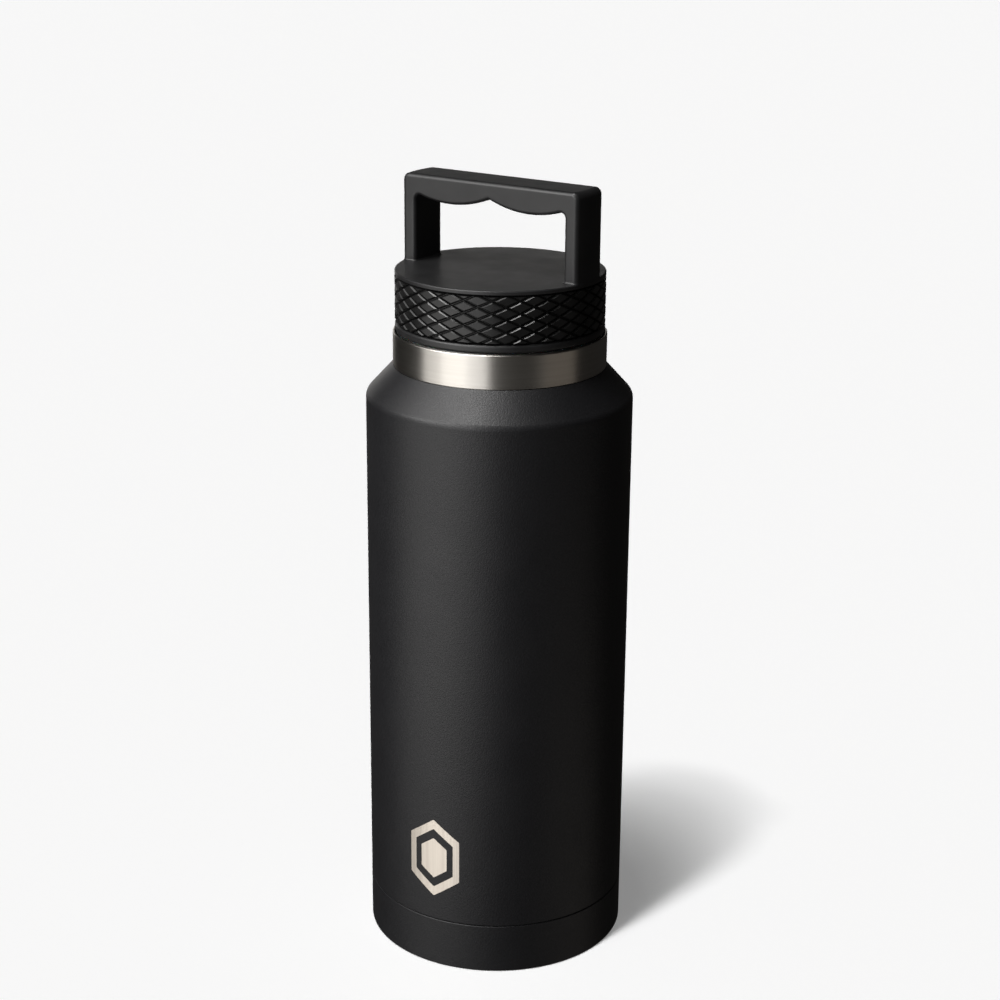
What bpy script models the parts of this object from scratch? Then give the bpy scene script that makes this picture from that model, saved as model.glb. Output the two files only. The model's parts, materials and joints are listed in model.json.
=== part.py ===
"""Insulated water bottle: a double-walled steel vacuum bottle with a knurled screw lid.

The bottle stands on Z = 0 with its axis on Z. The lid's handle runs along X.
The lid is closed and its threads are in mesh.
"""
import math

import bmesh
import bpy

MM = 0.001

# Driving dimensions
BODY_RADIUS = 45.0 * MM
SEAM_HEIGHT = 17.5 * MM        # joint between the base cup and the wall
SHOULDER_HEIGHT = 196.2 * MM   # where the side and the shoulder cone would meet
SHOULDER_BEND = 4.5 * MM       # radius of the rounding between them
NECK_HEIGHT = 206.2 * MM       # top of the shoulder cone
NECK_RADIUS = 35.85 * MM
RIM_HEIGHT = 217.6 * MM        # top of the bottle without its lid
LID_RADIUS = 35.1 * MM
LID_BOTTOM = 218.0 * MM
LID_TOP = 238.35 * MM
GRIP_BOTTOM = 221.0 * MM
GRIP_TOP = 236.6 * MM
GRIP_RADIUS = 35.1 * MM

# Carry handle
HANDLE_TOP = 267.8 * MM
HANDLE_DEPTH = 15.7 * MM
HANDLE_END = 34.9 * MM         # radius of its ends round the bottle's axis
HANDLE_INNER = 29.15 * MM      # half the distance between its legs
HANDLE_EDGE = 1.4 * MM
BAR_THICKNESS = 8.9 * MM       # at its thickest
BELLY_CENTRE = 15.5 * MM       # distance of each belly's lowest point from the middle
BELLY_RADIUS = 38.5 * MM

# Sheet thicknesses and gaps
OUTER_WALL = 0.6 * MM
INNER_WALL = 0.5 * MM
FOIL = 0.1 * MM
VACUUM_GAP = 3.7 * MM
GAP = 0.3 * MM                 # between pieces that touch

# Seam, foot and the underside of the base
SEAM_LIP = 0.2 * MM            # depth and height of the small turned-in edge on each side
FOOT_BEND = 0.5 * MM
FOOT_INNER = 36.5 * MM
RECESS_RADIUS = 34.8 * MM
RECESS_HEIGHT = 2.2 * MM
DIMPLE_RADIUS = 3.6 * MM
DIMPLE_HEIGHT = 3.7 * MM
PUMP_HOLE = 1.3 * MM
VESSEL_BOTTOM = 14.0 * MM      # lower edge of the drinking vessel's side

# Two-start thread between the neck and the plug
THREAD_LEAD = 9.0 * MM         # rise of the lid in one turn
THREAD_STARTS = 2
THREAD_TURN = 270.0            # degrees that each ridge runs round
CREST_HALF = 0.8 * MM          # half the ridge's height at its crest, and at its root
ROOT_HALF = 1.25 * MM
NECK_BORE = 31.2 * MM
NECK_CREST = 30.1 * MM
NECK_THREAD_START = 204.5 * MM
PLUG_RADIUS = 29.6 * MM
PLUG_CREST = 30.8 * MM
PLUG_BOTTOM = 197.0 * MM
PLUG_WALL = 2.0 * MM

# Screws between the lid's body and its top plate
SCREW_COUNT = 4
SCREW_CIRCLE = 24.0 * MM
SCREW_RADIUS = 1.3 * MM
PLATE_BOTTOM = 231.0 * MM      # the lid body's inner plate
PLATE_TOP = 233.0 * MM
TOP_UNDERSIDE = 235.9 * MM     # underside of the lid's top plate

WALL_SEGMENTS = 40
SMALL_SEGMENTS = 16

VESSEL_RADIUS = BODY_RADIUS - OUTER_WALL - VACUUM_GAP - INNER_WALL
GASKET_ROOF = LID_BOTTOM + 1.6 * MM
CORE_RADIUS = 32.9 * MM
LID_BORE = 31.4 * MM


def clear_scene():
    for thing in list(bpy.data.objects):
        bpy.data.objects.remove(thing)


def new_collection(name):
    group = bpy.data.collections.new(name)
    bpy.context.scene.collection.children.link(group)
    return group


def new_material(name, colour, roughness, metallic):
    material = bpy.data.materials.new(name)
    material.use_nodes = True
    shader = material.node_tree.nodes["Principled BSDF"]
    shader.inputs["Base Color"].default_value = (*colour, 1.0)
    shader.inputs["Roughness"].default_value = roughness
    shader.inputs["Metallic"].default_value = metallic
    return material


def add_object(name, mesh, material, group):
    thing = bpy.data.objects.new(name, mesh)
    mesh.materials.append(material)
    group.objects.link(thing)
    return thing


def arc(centre, radius, first, last, steps):
    """Points on an arc in the profile plane, by angle in degrees from the outward direction."""
    points = []
    for step in range(steps + 1):
        angle = math.radians(first + (last - first) * step / steps)
        points.append((centre[0] + radius * math.cos(angle), centre[1] + radius * math.sin(angle)))
    return points


def turned(name, points, material, group, closed=False, segments=WALL_SEGMENTS):
    """A turned piece. Its profile of (radius, height) points runs down the outer side."""
    count = len(points)
    edges = [(index, index + 1) for index in range(count - 1)]
    if closed:
        edges.append((count - 1, 0))
    mesh = bpy.data.meshes.new(name)
    mesh.from_pydata([(radius, 0.0, height) for radius, height in points], edges, [])
    piece = add_object(name, mesh, material, group)
    screw = piece.modifiers.new("turn", "SCREW")
    screw.axis = "Z"
    screw.angle = math.tau
    screw.steps = segments
    screw.render_steps = segments
    screw.use_merge_vertices = True
    screw.merge_threshold = 0.00001
    screw.use_smooth_shade = True
    return piece


def turned_shell(name, points, thickness, side, material, group, segments=WALL_SEGMENTS):
    """A turned sheet. Side 1 thickens it away from the axis and side -1 towards it."""
    piece = turned(name, points, material, group, segments=segments)
    solidify = piece.modifiers.new("sheet", "SOLIDIFY")
    solidify.thickness = thickness
    solidify.offset = side
    solidify.use_even_offset = True
    return piece


def boolean(piece, tool, operation):
    modifier = piece.modifiers.new(tool.name, "BOOLEAN")
    modifier.operation = operation
    modifier.solver = "EXACT"
    modifier.object = tool


def as_tool(piece):
    piece.hide_render = True
    piece.display_type = "WIRE"


def round_tool(name, radius, bottom, top, centre, material, group):
    """An upright cylinder that cuts or joins another piece."""
    bpy.ops.mesh.primitive_cylinder_add(
        vertices=SMALL_SEGMENTS, radius=radius, depth=top - bottom,
        location=(centre[0], centre[1], (bottom + top) / 2))
    tool = bpy.context.object
    tool.name = name
    tool.data.materials.append(material)
    for owner in list(tool.users_collection):
        owner.objects.unlink(tool)
    group.objects.link(tool)
    as_tool(tool)
    return tool


def evaluated_mesh(piece):
    graph = bpy.context.evaluated_depsgraph_get()
    return bpy.data.meshes.new_from_object(piece.evaluated_get(graph))


def thread_ridge(name, root, crest, height, start_angle, material, group):
    """One right-hand thread ridge with closed ends, from its start angle and height upwards."""
    profile = [(root, ROOT_HALF), (crest, CREST_HALF), (crest, -CREST_HALF), (root, -ROOT_HALF)]
    if crest < root:
        profile.reverse()
    points = [(radius, height + offset) for radius, offset in profile]
    ridge = turned(name + "_sweep", points, material, group, closed=True)
    screw = ridge.modifiers["turn"]
    steps = round(WALL_SEGMENTS * THREAD_TURN / 360.0)
    screw.angle = math.radians(THREAD_TURN)
    screw.screw_offset = THREAD_LEAD * THREAD_TURN / 360.0
    screw.steps = steps
    screw.render_steps = steps
    screw.use_merge_vertices = False
    mesh = evaluated_mesh(ridge)
    bpy.data.objects.remove(ridge)
    form = bmesh.new()
    form.from_mesh(mesh)
    ends = [edge for edge in form.edges if edge.is_boundary]
    bmesh.ops.holes_fill(form, edges=ends, sides=4)
    bmesh.ops.recalc_face_normals(form, faces=form.faces)
    form.to_mesh(mesh)
    form.free()
    tool = bpy.data.objects.new(name, mesh)
    tool.rotation_euler.z = math.radians(start_angle)
    group.objects.link(tool)
    as_tool(tool)
    return tool


def add_thread(piece, root, crest, height, material, group):
    """Join the ridges to a piece. Half a facet's turn keeps their ends off the piece's own edges."""
    half_facet = 180.0 / WALL_SEGMENTS
    for start in range(THREAD_STARTS):
        name = f"{piece.name}_ridge_{start + 1}"
        angle = 360.0 * start / THREAD_STARTS + half_facet
        ridge = thread_ridge(name, root, crest, height, angle, material, group)
        boolean(piece, ridge, "UNION")


def shoulder_points(radius, cone_start, bend, neck_radius, neck_height, steps):
    """The rounded bend between a straight side and a shoulder cone, listed from the neck down."""
    slope = math.atan2(radius - neck_radius, neck_height - cone_start)
    tangent = bend * math.tan(slope / 2)
    centre = (radius - bend, cone_start - tangent)
    return arc(centre, bend, math.degrees(slope), 0.0, steps)


def make_outer_wall(material, group):
    """The outer side and its shoulder cone, turned in a little at the seam."""
    middle = (SEAM_HEIGHT + SHOULDER_HEIGHT) / 2
    points = [(NECK_RADIUS, NECK_HEIGHT)]
    points += shoulder_points(BODY_RADIUS, SHOULDER_HEIGHT, SHOULDER_BEND, NECK_RADIUS, NECK_HEIGHT, 4)
    points += [
        (BODY_RADIUS, middle),
        (BODY_RADIUS, SEAM_HEIGHT + SEAM_LIP + GAP),
        (BODY_RADIUS - SEAM_LIP, SEAM_HEIGHT + SEAM_LIP),
    ]
    turned_shell("outer_wall", points, OUTER_WALL, -1, material, group)


def make_neck_collar(material, group):
    """The bare neck of the outer wall, with a spigot that stands inside the shoulder."""
    edge = 0.5 * MM
    spigot = NECK_RADIUS - OUTER_WALL - GAP
    spigot_depth = 2.7 * MM
    points = [
        (NECK_RADIUS - edge, RIM_HEIGHT),
        (NECK_RADIUS, RIM_HEIGHT - edge),
        (NECK_RADIUS, NECK_HEIGHT + GAP),
        (spigot, NECK_HEIGHT + GAP / 2),
        (spigot - 0.05 * MM, NECK_HEIGHT - spigot_depth),
    ]
    turned_shell("neck_collar", points, OUTER_WALL, -1, material, group)


def make_inner_vessel(material, group, tools):
    """The drinking vessel's wall: a folded lip, a threaded neck, a shoulder and a straight side."""
    edge = 0.5 * MM
    lip_radius = NECK_RADIUS - OUTER_WALL - 0.7 * MM
    cone_start = SHOULDER_HEIGHT - VACUUM_GAP - 2.0 * MM
    neck_end = cone_start + VESSEL_RADIUS - NECK_BORE
    middle = (VESSEL_BOTTOM + cone_start) / 2
    points = [
        (lip_radius, RIM_HEIGHT),
        (NECK_BORE + edge, RIM_HEIGHT),
        (NECK_BORE, RIM_HEIGHT - edge),
        (NECK_BORE, neck_end),
    ]
    points += shoulder_points(VESSEL_RADIUS, cone_start, SHOULDER_BEND, NECK_BORE, neck_end, 3)
    points += [(VESSEL_RADIUS, middle), (VESSEL_RADIUS, VESSEL_BOTTOM)]
    vessel = turned_shell("inner_vessel", points, INNER_WALL, 1, material, group)
    add_thread(vessel, NECK_BORE + INNER_WALL / 2, NECK_CREST, NECK_THREAD_START, material, tools)


def make_inner_base(material, group):
    """The vessel's bottom, which bulges down and is welded inside the wall by its skirt."""
    radius = VESSEL_RADIUS - GAP
    bend = 3.0 * MM
    bend_height = VESSEL_BOTTOM + 2.0 * MM
    skirt = 1.0 * MM
    lowest = VESSEL_BOTTOM - 3.1 * MM
    points = [(radius, bend_height + skirt)]
    points += arc((radius - bend, bend_height), bend, 0.0, -75.0, 3)
    points += [(radius / 2, lowest + 0.7 * MM), (0.0, lowest)]
    turned_shell("inner_base", points, INNER_WALL, -1, material, group)


def make_copper_foil(material, group):
    """The foil round the vessel's straight side, which throws radiated heat back."""
    radius = VESSEL_RADIUS + INNER_WALL + GAP + FOIL
    top = 185.0 * MM
    bottom = 22.0 * MM
    turned_shell("copper_foil", [(radius, top), (radius, bottom)], FOIL, -1, material, group)


def make_base_cup(material, group):
    """The drawn cup under the seam: joggled rim, foot ring, recess and pump dimple."""
    spigot = BODY_RADIUS - OUTER_WALL - GAP - 0.1 * MM
    spigot_height = 4.0 * MM
    edge = SEAM_LIP / 2
    points = [
        (spigot, SEAM_HEIGHT + spigot_height),
        (spigot, SEAM_HEIGHT + edge),
        (BODY_RADIUS - SEAM_LIP, SEAM_HEIGHT - edge),
        (BODY_RADIUS, SEAM_HEIGHT - edge - GAP),
    ]
    points += arc((BODY_RADIUS - FOOT_BEND, FOOT_BEND), FOOT_BEND, 0.0, -90.0, 2)
    points += [
        (FOOT_INNER, 0.0),
        (RECESS_RADIUS, RECESS_HEIGHT),
        (DIMPLE_RADIUS + MM, RECESS_HEIGHT),
        (DIMPLE_RADIUS, DIMPLE_HEIGHT),
        (PUMP_HOLE, DIMPLE_HEIGHT),
    ]
    turned_shell("base_cup", points, OUTER_WALL, -1, material, group)


def make_base_disc(material, group):
    """The disc that covers the pump dimple, set back from the foot ring."""
    radius = RECESS_RADIUS - 1.2 * MM
    edge = 0.4 * MM
    top = RECESS_HEIGHT - GAP
    bottom = top - MM
    points = [(0.0, top), (radius, top), (radius, bottom + edge), (radius - edge, bottom), (0.0, bottom)]
    turned("base_disc", points, material, group)


def make_vacuum_seal(material, group):
    """The glass bead in the pump dimple, a flat drop under the hole."""
    radius = DIMPLE_RADIUS - 0.6 * MM
    top = DIMPLE_HEIGHT - GAP
    bottom = top - MM
    points = [
        (0.0, top),
        (radius - 0.8 * MM, top),
        (radius, top - 0.4 * MM),
        (radius, bottom + 0.2 * MM),
        (0.0, bottom),
    ]
    turned("vacuum_seal", points, material, group, segments=SMALL_SEGMENTS)


def make_getter(holder_material, pellet_material, group):
    """The getter pellet and the tray that holds it on the base cup's floor."""
    sheet = 0.4 * MM
    tray_radius = 6.0 * MM
    tray_height = 2.2 * MM
    pellet_radius = tray_radius - sheet - 0.6 * MM
    pellet_bottom = sheet + GAP
    pellet_top = pellet_bottom + 1.7 * MM
    place = (20.0 * MM, 0.0, RECESS_HEIGHT + OUTER_WALL + 0.5 * MM)
    tray = [(tray_radius, tray_height), (tray_radius, 0.0), (0.0, 0.0)]
    holder = turned_shell("getter_holder", tray, sheet, -1, holder_material, group, SMALL_SEGMENTS)
    holder.location = place
    disc = [
        (0.0, pellet_top),
        (pellet_radius, pellet_top),
        (pellet_radius, pellet_bottom),
        (0.0, pellet_bottom),
    ]
    pellet = turned("getter_pellet", disc, pellet_material, group, segments=SMALL_SEGMENTS)
    pellet.location = place


def make_lid_body(material, group, tools):
    """The lid's core: lower bead, gasket seat, wall under the grip band and inner plate."""
    bead = 0.9 * MM
    points = [
        (0.0, PLATE_TOP),
        (LID_BORE, PLATE_TOP),
        (LID_BORE, TOP_UNDERSIDE - GAP),
        (CORE_RADIUS, TOP_UNDERSIDE - GAP),
        (CORE_RADIUS, GRIP_BOTTOM - GAP),
    ]
    points += arc((LID_RADIUS - bead, GRIP_BOTTOM - GAP - bead), bead, 90.0, 0.0, 3)
    points += arc((LID_RADIUS - bead, LID_BOTTOM + bead), bead, 0.0, -80.0, 3)
    points += [
        (LID_RADIUS - bead, LID_BOTTOM),
        (LID_RADIUS - bead, GASKET_ROOF),
        (LID_BORE, GASKET_ROOF),
        (LID_BORE, PLATE_BOTTOM),
        (0.0, PLATE_BOTTOM),
    ]
    body = turned("lid_body", points, material, group)
    for number, centre in enumerate(screw_centres(), start=1):
        hole = round_tool(f"plate_hole_{number}", SCREW_RADIUS + GAP, PLATE_BOTTOM - MM, PLATE_TOP + MM,
                          centre, material, tools)
        boolean(body, hole, "DIFFERENCE")


def make_grip_band(material, group):
    edge = 0.4 * MM
    inner = CORE_RADIUS + GAP
    points = [
        (inner, GRIP_TOP),
        (GRIP_RADIUS - edge, GRIP_TOP),
        (GRIP_RADIUS, GRIP_TOP - edge),
        (GRIP_RADIUS, GRIP_BOTTOM + edge),
        (GRIP_RADIUS - edge, GRIP_BOTTOM),
        (inner, GRIP_BOTTOM),
    ]
    turned("grip_band", points, material, group, closed=True)


def underside(distance):
    """Height of the handle bar's underside, at a distance from the middle of its length.

    Two round bellies for the fingers hang down and meet in a notch in the middle.
    """
    lowest = HANDLE_TOP - BAR_THICKNESS
    along = abs(distance) - BELLY_CENTRE
    return lowest + BELLY_RADIUS - math.sqrt(BELLY_RADIUS ** 2 - along ** 2)


def handle_outline(depth):
    """Outline of the handle's loop at a depth: round its outside, then back along the underside.

    Its ends follow the lid's round side, so the loop is longest in the middle of its depth.
    """
    half = math.sqrt(HANDLE_END ** 2 - depth ** 2)
    foot = LID_TOP - 0.8 * MM
    corner = 2.4 * MM
    fillet = 1.7 * MM
    points = [(-half, foot)]
    points += arc((-half + corner, HANDLE_TOP - corner), corner, 180.0, 90.0, 4)
    points += arc((half - corner, HANDLE_TOP - corner), corner, 90.0, 0.0, 4)
    points += [(half, foot), (HANDLE_INNER, foot)]
    reach = HANDLE_INNER - fillet
    corner_height = underside(reach) - fillet
    points += arc((reach, corner_height), fillet, 0.0, 90.0, 3)
    steps = 26                 # along the underside
    for step in range(1, steps):
        distance = reach - 2 * reach * step / steps
        points.append((distance, underside(distance)))
    points += arc((-reach, corner_height), fillet, 90.0, 180.0, 3)
    points.append((-HANDLE_INNER, foot))
    return points


def make_handle_loop(material, tools):
    """The handle's loop: its outline in even steps of depth, with rounded edges front and back."""
    steps = 6
    form = bmesh.new()
    sections = []
    for step in range(steps + 1):
        depth = HANDLE_DEPTH * (step / steps - 0.5)
        sections.append([form.verts.new((along, depth, height)) for along, height in handle_outline(depth)])
    for near, far in zip(sections, sections[1:]):
        for index in range(len(near)):
            form.faces.new([near[index - 1], near[index], far[index], far[index - 1]])
    form.faces.new(sections[0])
    form.faces.new(sections[-1])
    bmesh.ops.recalc_face_normals(form, faces=form.faces)
    mesh = bpy.data.meshes.new("handle_loop")
    form.to_mesh(mesh)
    form.free()
    loop = add_object("handle_loop", mesh, material, tools)
    bevel = loop.modifiers.new("edges", "BEVEL")
    bevel.width = HANDLE_EDGE
    bevel.segments = 2
    bevel.limit_method = "ANGLE"
    bevel.angle_limit = math.radians(60.0)
    as_tool(loop)
    return loop


def make_lid_top_handle(material, group, tools):
    """The lid's round top plate and the carry handle, moulded in one."""
    seat = CORE_RADIUS + 0.1 * MM
    points = [
        (0.0, LID_TOP),
        (LID_RADIUS - 0.5 * MM, LID_TOP),
        (LID_RADIUS, LID_TOP - 0.5 * MM),
        (LID_RADIUS, GRIP_TOP + GAP),
        (seat, GRIP_TOP + GAP),
        (seat, TOP_UNDERSIDE),
        (0.0, TOP_UNDERSIDE),
    ]
    plate = turned("lid_top_handle", points, material, group)
    boolean(plate, make_handle_loop(material, tools), "UNION")
    for number, centre in enumerate(screw_centres(), start=1):
        boss = round_tool(f"boss_{number}", SCREW_RADIUS + 1.5 * MM, PLATE_TOP + GAP, TOP_UNDERSIDE + GAP,
                          centre, material, tools)
        boolean(plate, boss, "UNION")
        pilot = round_tool(f"pilot_hole_{number}", SCREW_RADIUS + GAP, PLATE_TOP - MM,
                           TOP_UNDERSIDE + 1.2 * MM, centre, material, tools)
        boolean(plate, pilot, "DIFFERENCE")


def screw_centres():
    centres = []
    for number in range(SCREW_COUNT):
        angle = math.tau * (number + 0.5) / SCREW_COUNT
        centres.append((SCREW_CIRCLE * math.cos(angle), SCREW_CIRCLE * math.sin(angle)))
    return centres


def make_lid_screws(material, group, tools):
    """Four pan-head screws with a hexagon socket, driven up from inside the lid."""
    head_radius = 2.4 * MM
    head_height = 1.5 * MM
    socket_radius = 1.1 * MM
    socket_depth = 0.8 * MM
    head_top = PLATE_BOTTOM - GAP
    shank = TOP_UNDERSIDE + 0.8 * MM - head_top
    points = [
        (0.0, shank),
        (SCREW_RADIUS - 0.5 * MM, shank),
        (SCREW_RADIUS, shank - 0.9 * MM),
        (SCREW_RADIUS, 0.0),
        (head_radius, 0.0),
        (head_radius, 0.6 * MM - head_height),
        (head_radius - 0.7 * MM, -head_height),
        (0.0, -head_height),
    ]
    pattern = turned("screw_pattern", points, material, tools, segments=SMALL_SEGMENTS)
    bpy.ops.mesh.primitive_cylinder_add(vertices=6, radius=socket_radius, depth=2 * socket_depth,
                                        location=(0.0, 0.0, -head_height))
    socket = bpy.context.object
    socket.name = "screw_socket"
    boolean(pattern, socket, "DIFFERENCE")
    bpy.context.view_layer.update()
    mesh = evaluated_mesh(pattern)
    mesh.name = "lid_screw"
    bpy.data.objects.remove(pattern)
    bpy.data.objects.remove(socket)
    for number, centre in enumerate(screw_centres(), start=1):
        screw = bpy.data.objects.new(f"lid_screw_{number}", mesh)
        screw.location = (centre[0], centre[1], head_top)
        group.objects.link(screw)


def make_lid_plug(material, group, tools):
    """The hollow threaded plug, which hangs from the lid body by its flange."""
    flange = LID_BORE - GAP
    flange_top = GASKET_ROOF + 2.4 * MM
    bore = PLUG_RADIUS - PLUG_WALL
    edge = 1.0 * MM
    points = [
        (0.0, PLUG_BOTTOM + PLUG_WALL),
        (bore, PLUG_BOTTOM + PLUG_WALL),
        (bore, flange_top),
        (flange, flange_top),
        (flange, GASKET_ROOF),
        (PLUG_RADIUS, GASKET_ROOF),
        (PLUG_RADIUS, PLUG_BOTTOM + edge),
        (PLUG_RADIUS - edge, PLUG_BOTTOM),
        (0.0, PLUG_BOTTOM),
    ]
    plug = turned("lid_plug", points, material, group)
    half_pitch = THREAD_LEAD / THREAD_STARTS / 2
    root = PLUG_RADIUS - 0.4 * MM
    add_thread(plug, root, PLUG_CREST, NECK_THREAD_START - half_pitch, material, tools)


def make_plug_filling(foam_material, cover_material, group):
    """The insulating foam in the plug and the disc that closes it in."""
    radius = PLUG_RADIUS - PLUG_WALL - GAP
    bottom = PLUG_BOTTOM + PLUG_WALL + GAP
    top = GASKET_ROOF - 0.4 * MM
    cover_top = top + GAP + 1.6 * MM
    foam = [(0.0, top), (radius, top), (radius, bottom), (0.0, bottom)]
    turned("plug_foam", foam, foam_material, group)
    cover = [(0.0, cover_top), (radius, cover_top), (radius, top + GAP), (0.0, top + GAP)]
    turned("plug_cover", cover, cover_material, group)


def make_lid_gasket(material, group):
    inner = PLUG_RADIUS + 0.5 * MM
    outer = LID_RADIUS - 0.9 * MM - GAP
    top = GASKET_ROOF - GAP
    bottom = RIM_HEIGHT + GAP
    edge = 0.4 * MM
    points = [
        (inner, top),
        (outer, top),
        (outer, bottom + edge),
        (outer - edge, bottom),
        (inner, bottom),
    ]
    turned("lid_gasket", points, material, group, closed=True)


def build():
    clear_scene()
    bottle = new_collection("insulated_water_bottle")
    tools = new_collection("cutters")
    coating = new_material("black_coating", (0.012, 0.012, 0.013), 0.55, 0.0)
    brushed = new_material("brushed_steel", (0.60, 0.57, 0.53), 0.28, 1.0)
    steel = new_material("bare_steel", (0.55, 0.55, 0.54), 0.35, 1.0)
    copper = new_material("copper", (0.72, 0.38, 0.24), 0.30, 1.0)
    solder = new_material("solder_glass", (0.25, 0.26, 0.27), 0.30, 0.0)
    sintered = new_material("getter_alloy", (0.12, 0.12, 0.12), 0.80, 0.6)
    plastic = new_material("black_plastic", (0.018, 0.018, 0.019), 0.45, 0.0)
    grip = new_material("black_grip", (0.015, 0.015, 0.015), 0.50, 0.0)
    inner_plastic = new_material("grey_plastic", (0.06, 0.06, 0.065), 0.45, 0.0)
    silicone = new_material("clear_silicone", (0.55, 0.55, 0.54), 0.40, 0.0)
    foam = new_material("white_foam", (0.80, 0.80, 0.77), 0.90, 0.0)

    make_outer_wall(coating, bottle)
    make_neck_collar(brushed, bottle)
    make_inner_vessel(steel, bottle, tools)
    make_inner_base(steel, bottle)
    make_copper_foil(copper, bottle)
    make_base_cup(coating, bottle)
    make_base_disc(coating, bottle)
    make_vacuum_seal(solder, bottle)
    make_getter(steel, sintered, bottle)
    make_lid_body(plastic, bottle, tools)
    make_grip_band(grip, bottle)
    make_lid_top_handle(plastic, bottle, tools)
    make_lid_screws(steel, bottle, tools)
    make_lid_plug(inner_plastic, bottle, tools)
    make_plug_filling(foam, inner_plastic, bottle)
    make_lid_gasket(silicone, bottle)


build()
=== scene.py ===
"""Looks of the insulated water bottle: fine meshes, materials, light and camera.

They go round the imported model. Sizes are in metres. The bottle's axis is Z and the lid's handle
runs along X, as in the model.
"""

import json
import math

import bmesh
import bpy
from mathutils import Matrix, Vector

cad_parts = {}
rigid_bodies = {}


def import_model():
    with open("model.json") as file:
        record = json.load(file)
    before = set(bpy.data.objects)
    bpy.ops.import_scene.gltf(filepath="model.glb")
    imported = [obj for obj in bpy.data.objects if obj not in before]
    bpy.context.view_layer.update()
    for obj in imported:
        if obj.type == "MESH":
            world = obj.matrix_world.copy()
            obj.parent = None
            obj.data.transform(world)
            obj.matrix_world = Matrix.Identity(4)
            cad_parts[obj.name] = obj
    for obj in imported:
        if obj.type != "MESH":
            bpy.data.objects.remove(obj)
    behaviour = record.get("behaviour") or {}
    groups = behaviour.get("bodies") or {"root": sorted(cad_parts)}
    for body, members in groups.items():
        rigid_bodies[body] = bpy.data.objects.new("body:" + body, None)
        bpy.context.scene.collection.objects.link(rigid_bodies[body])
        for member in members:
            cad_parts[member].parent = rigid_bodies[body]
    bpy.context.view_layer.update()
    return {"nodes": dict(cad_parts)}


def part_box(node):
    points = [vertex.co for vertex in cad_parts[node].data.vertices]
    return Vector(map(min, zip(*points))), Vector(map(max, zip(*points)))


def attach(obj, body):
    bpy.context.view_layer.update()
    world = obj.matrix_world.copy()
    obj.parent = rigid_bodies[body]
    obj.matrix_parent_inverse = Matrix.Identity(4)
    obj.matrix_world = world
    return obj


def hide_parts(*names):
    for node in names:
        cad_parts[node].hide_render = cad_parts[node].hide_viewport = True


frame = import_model()

MM = 0.001

# Heights and radii read from the frame
BODY_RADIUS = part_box("outer_wall")[1].x
SHOULDER_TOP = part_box("outer_wall")[1].z
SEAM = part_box("outer_wall")[0].z - 0.2 * MM
NECK_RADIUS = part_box("neck_collar")[1].x
COLLAR_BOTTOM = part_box("neck_collar")[0].z
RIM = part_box("neck_collar")[1].z
VESSEL_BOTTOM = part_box("inner_vessel")[0].z
BASE_BOTTOM, BASE_TOP = (corner.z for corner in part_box("inner_base"))
CUP_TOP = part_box("base_cup")[1].z
DISC_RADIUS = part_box("base_disc")[1].x
DISC_BOTTOM, DISC_TOP = (corner.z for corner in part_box("base_disc"))
LID_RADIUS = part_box("lid_body")[1].x
LID_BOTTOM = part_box("lid_body")[0].z
GRIP_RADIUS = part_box("grip_band")[1].x
GRIP_BOTTOM, GRIP_TOP = (corner.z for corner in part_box("grip_band"))
PLUG_BOTTOM, FLANGE_TOP = (corner.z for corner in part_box("lid_plug"))
GASKET_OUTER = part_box("lid_gasket")[1].x
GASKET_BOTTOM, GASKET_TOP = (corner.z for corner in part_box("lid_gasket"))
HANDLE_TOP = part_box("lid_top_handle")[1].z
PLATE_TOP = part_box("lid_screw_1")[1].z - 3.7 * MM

# Sizes that no box gives: the model's own, but for the bend at the shoulder
SHOULDER_CORNER = 196.2 * MM      # where the side and the cone would meet
SHOULDER_BEND = 3.2 * MM          # tighter than the model's, and about 0.1 mm proud of it
OUTER_SHEET = 0.6 * MM
INNER_SHEET = 0.5 * MM
VESSEL_RADIUS = 40.2 * MM
VESSEL_CORNER = 190.5 * MM
NECK_BORE = 31.2 * MM
LID_TOP = GRIP_TOP + 1.75 * MM
LID_UNDERSIDE = GRIP_TOP - 0.7 * MM
CORE_RADIUS = 32.9 * MM
LID_BORE = 31.4 * MM
PLUG_RADIUS = 29.6 * MM
SCREW_CIRCLE = 24.0 * MM
GAP = 0.3 * MM

# Two-start thread
THREAD_LEAD = 9.0 * MM
THREAD_STARTS = 2
THREAD_TURN = math.radians(270.0)
THREAD_HALF = 1.2 * MM            # half a ridge's height at its root
NECK_RIDGE = 1.1 * MM             # how far the ridges stand out
PLUG_RIDGE = 1.2 * MM
NECK_THREAD = 204.5 * MM          # height at which the first ridge starts
THREAD_FADE = math.radians(14.0)  # run over which a ridge's ends rise
THREAD_ROW = 0.2 * MM             # height of one row of the mesh on a threaded wall

# Handle
HANDLE_DEPTH = 15.7 * MM
HANDLE_END = 34.9 * MM            # radius of its ends round the bottle's axis
HANDLE_INNER = 29.15 * MM         # half the distance between its legs
HANDLE_EDGE = 1.4 * MM
BAR_THICKNESS = 8.9 * MM
BELLY_CENTRE = 15.5 * MM          # distance of each belly's lowest point from the middle
BELLY_RADIUS = 38.5 * MM
FOOT_FILLET = 0.7 * MM
RIM_EDGE = 0.5 * MM               # rounding of the lid's top edge

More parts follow.
